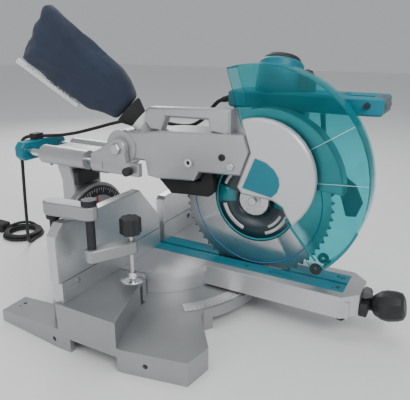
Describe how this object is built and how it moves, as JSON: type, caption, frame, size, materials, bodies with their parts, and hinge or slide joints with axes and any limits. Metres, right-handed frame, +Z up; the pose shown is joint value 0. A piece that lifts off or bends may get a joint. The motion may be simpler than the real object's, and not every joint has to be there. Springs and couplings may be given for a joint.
{
  "type": "miter saw",
  "caption": "Dual-slide compound miter saw with toothed blade, clear swinging guard, D-handle, dust bag, sliding fences and work vise, head lowered over the slotted table.",
  "frame": {"origin": "middle of the saw's outline without its cord, on the bench surface under the feet", "axes": "+X to the operator's right along the fence, +Y from the operator to the rear along the slide rails, +Z up"},
  "size_m": [0.62, 1.112, 0.581],
  "materials": {
    "cast": "bead-blasted cast aluminium",
    "machined": "machined aluminium",
    "painted_silver": "silver painted casting",
    "painted_white": "light satin paint",
    "teal_plastic": "moulded glass-filled nylon",
    "teal_board": "moulded kerf board",
    "clear_teal": "tinted clear polycarbonate",
    "white_plastic": "moulded",
    "black_plastic": "moulded",
    "grey_rubber": "soft grip",
    "black_rubber": "flexible rubber",
    "bright_steel": "ground and chromed",
    "steel": "bright steel",
    "dark_steel": "blackened steel",
    "blade_steel": "ground plate with carbide tips",
    "navy_cloth": "woven cloth",
    "cord_jacket": "flexible cord jacket"
  },
  "bodies": {
    "base": {"base_casting": "cast", "miter_scale_plate": "machined", "fence_fixed": "machined", "vise_post": "dark_steel"},
    "left_fence": {"fence_upper_left": "machined"},
    "right_fence": {"fence_upper_right": "machined"},
    "left_clamp": {"fence_knob_left": "black_plastic"},
    "right_clamp": {"fence_knob_right": "black_plastic"},
    "turntable": {"turntable_casting": "machined", "kerf_board_left": "teal_board", "kerf_board_right": "teal_board", "lock_housing": "black_plastic"},
    "grip": {"miter_grip": "black_plastic"},
    "thumb": {"thumb_lever": "grey_rubber"},
    "under_lever": {"lock_lever": "black_plastic"},
    "lower_slide": {"arm_holder": "cast", "bevel_scale": "dark_steel", "bevel_pin": "steel"},
    "bevel": {"bevel_arm": "painted_silver", "arm_cover": "black_plastic"},
    "bevel_clamp": {"bevel_lever": "dark_steel"},
    "rail_clamp": {"slide_lock_knob": "black_plastic"},
    "upper_slide": {"rail_left": "bright_steel", "rail_right": "bright_steel", "rear_end_plate": "teal_plastic", "cord_clip": "black_plastic", "carriage_bracket": "painted_silver", "pivot_pin": "steel", "cord_carriage": "cord_jacket", "cord_coil": "cord_jacket", "cord_plug": "black_rubber"},
    "head_stop": {"stop_pin": "black_plastic"},
    "head": {"head_casting": "painted_silver", "dust_chute": "black_rubber", "dust_nozzle": "white_plastic", "dust_cuff": "black_rubber", "dust_bag": "navy_cloth", "handle_housing": "teal_plastic", "handle_grip": "grey_rubber", "motor_barrel": "teal_plastic", "motor_cap": "black_plastic", "brush_cover": "black_plastic", "gear_housing": "teal_plastic", "centre_cover": "painted_white", "work_lamp": "black_plastic", "strain_relief": "black_rubber", "cord_head": "cord_jacket"},
    "switch": {"trigger": "black_plastic"},
    "safety": {"lock_off_button": "black_plastic"},
    "arbor_lock": {"shaft_lock": "black_plastic"},
    "blade": {"saw_blade": "blade_steel", "spindle": "dark_steel", "arbor_bolt": "steel"},
    "guard": {"lower_guard": "clear_teal"},
    "left_roller": {"roller_left": "grey_rubber"},
    "right_roller": {"roller_right": "grey_rubber"},
    "vise_arm": {"vise_arm_upper": "cast"},
    "vise_drop": {"vise_arm_lower": "cast"},
    "vise_pad": {"vise_foot": "bright_steel"},
    "vise_spindle": {"vise_screw": "black_plastic"}
  },
  "joints": [
    {"name": "miter_turn", "type": "hinge", "parent": "base", "child": "turntable", "pos_m": [0, 0.074, 0.089], "axis": [0, 0, 1], "range_deg": [-47, 47]},
    {"name": "grip_turn", "type": "hinge", "parent": "turntable", "child": "grip", "pos_m": [0, -0.3574, 0.0558], "axis": [0, -0.9781, 0.2079], "range_deg": [0, 120]},
    {"name": "thumb_press", "type": "hinge", "parent": "turntable", "child": "thumb", "pos_m": [0, -0.36, 0.074], "axis": [1, 0, 0], "range_deg": [0, 5], "stiffness_Nm_per_rad": 0.3},
    {"name": "lock_swing", "type": "hinge", "parent": "turntable", "child": "under_lever", "pos_m": [0, -0.322, 0.043], "axis": [-1, 0, 0], "range_deg": [0, 7], "stiffness_Nm_per_rad": 0.5},
    {"name": "lower_travel", "type": "slide", "parent": "turntable", "child": "lower_slide", "axis": [0, -1, 0], "range_m": [0, 0.03]},
    {"name": "bevel_tilt", "type": "hinge", "parent": "lower_slide", "child": "bevel", "pos_m": [0, 0.299, 0.089], "axis": [0, 1, 0], "range_deg": [-8, 8]},
    {"name": "bevel_clamp_turn", "type": "hinge", "parent": "bevel", "child": "bevel_clamp", "pos_m": [0, 0.338, 0.089], "axis": [0, 1, 0], "range_deg": [0, 40]},
    {"name": "rail_clamp_turn", "type": "hinge", "parent": "bevel", "child": "rail_clamp", "pos_m": [0.08, 0.294, 0.2655], "axis": [1, 0, 0], "range_deg": [0, 90]},
    {"name": "upper_travel", "type": "slide", "parent": "bevel", "child": "upper_slide", "axis": [0, -1, 0], "range_m": [-0.01, 0.048]},
    {"name": "stop_pull", "type": "slide", "parent": "upper_slide", "child": "head_stop", "axis": [-1, 0, 0], "range_m": [0, 0.008]},
    {"name": "head_tilt", "type": "hinge", "parent": "upper_slide", "child": "head", "pos_m": [0, 0.137, 0.304], "axis": [-1, 0, 0], "range_deg": [0, 40], "deforming": ["cord_head"]},
    {"name": "blade_spin", "type": "hinge", "parent": "head", "child": "blade", "pos_m": [0, -0.1403, 0.2223], "axis": [1, 0, 0], "continuous": true},
    {"name": "guard_swing", "type": "hinge", "parent": "head", "child": "guard", "pos_m": [0, -0.147, 0.2695], "axis": [1, 0, 0], "range_deg": [0, 86]},
    {"name": "left_roller_spin", "type": "hinge", "parent": "guard", "child": "left_roller", "pos_m": [-0.026, -0.274, 0.118], "axis": [1, 0, 0], "continuous": true},
    {"name": "right_roller_spin", "type": "hinge", "parent": "guard", "child": "right_roller", "pos_m": [0.026, -0.274, 0.118], "axis": [1, 0, 0], "continuous": true},
    {"name": "trigger_pull", "type": "slide", "parent": "head", "child": "switch", "axis": [0, -1, 0], "range_m": [0, 0.005], "stiffness_N_per_m": 300},
    {"name": "lock_off_press", "type": "slide", "parent": "head", "child": "safety", "axis": [1, 0, 0], "range_m": [0, 0.004], "stiffness_N_per_m": 200},
    {"name": "shaft_lock_press", "type": "slide", "parent": "head", "child": "arbor_lock", "axis": [-1, 0, 0], "range_m": [0, 0.004], "stiffness_N_per_m": 300},
    {"name": "left_fence_travel", "type": "slide", "parent": "base", "child": "left_fence", "axis": [-1, 0, 0], "range_m": [0, 0.06]},
    {"name": "right_fence_travel", "type": "slide", "parent": "base", "child": "right_fence", "axis": [1, 0, 0], "range_m": [0, 0.06]},
    {"name": "left_clamp_turn", "type": "hinge", "parent": "base", "child": "left_clamp", "pos_m": [-0.245, 0.11, 0.149], "axis": [0, 1, 0], "range_deg": [0, 90]},
    {"name": "right_clamp_turn", "type": "hinge", "parent": "base", "child": "right_clamp", "pos_m": [0.245, 0.11, 0.149], "axis": [0, 1, 0], "range_deg": [0, 90]},
    {"name": "vise_swing", "type": "hinge", "parent": "base", "child": "vise_arm", "pos_m": [-0.272, 0.112, 0.239], "axis": [0, 0, 1], "range_deg": [-25, 0]},
    {"name": "vise_height", "type": "slide", "parent": "vise_arm", "child": "vise_drop", "axis": [0, 0, 1], "range_m": [0, 0.025]},
    {"name": "vise_pad_travel", "type": "slide", "parent": "vise_drop", "child": "vise_pad", "axis": [0, 0, -1], "range_m": [-0.01, 0.012]},
    {"name": "vise_screw_turn", "type": "hinge", "parent": "vise_pad", "child": "vise_spindle", "pos_m": [-0.2055, 0.003, 0.189], "axis": [0, 0, -1], "range_deg": [-905, 1085]}
  ],
  "couplings": [
    {"joint": "guard_swing", "follows": "head_tilt", "ratio": 2.15},
    {"joint": "vise_screw_turn", "follows": "vise_pad_travel", "rad_per_m": 1570.8}
  ]
}
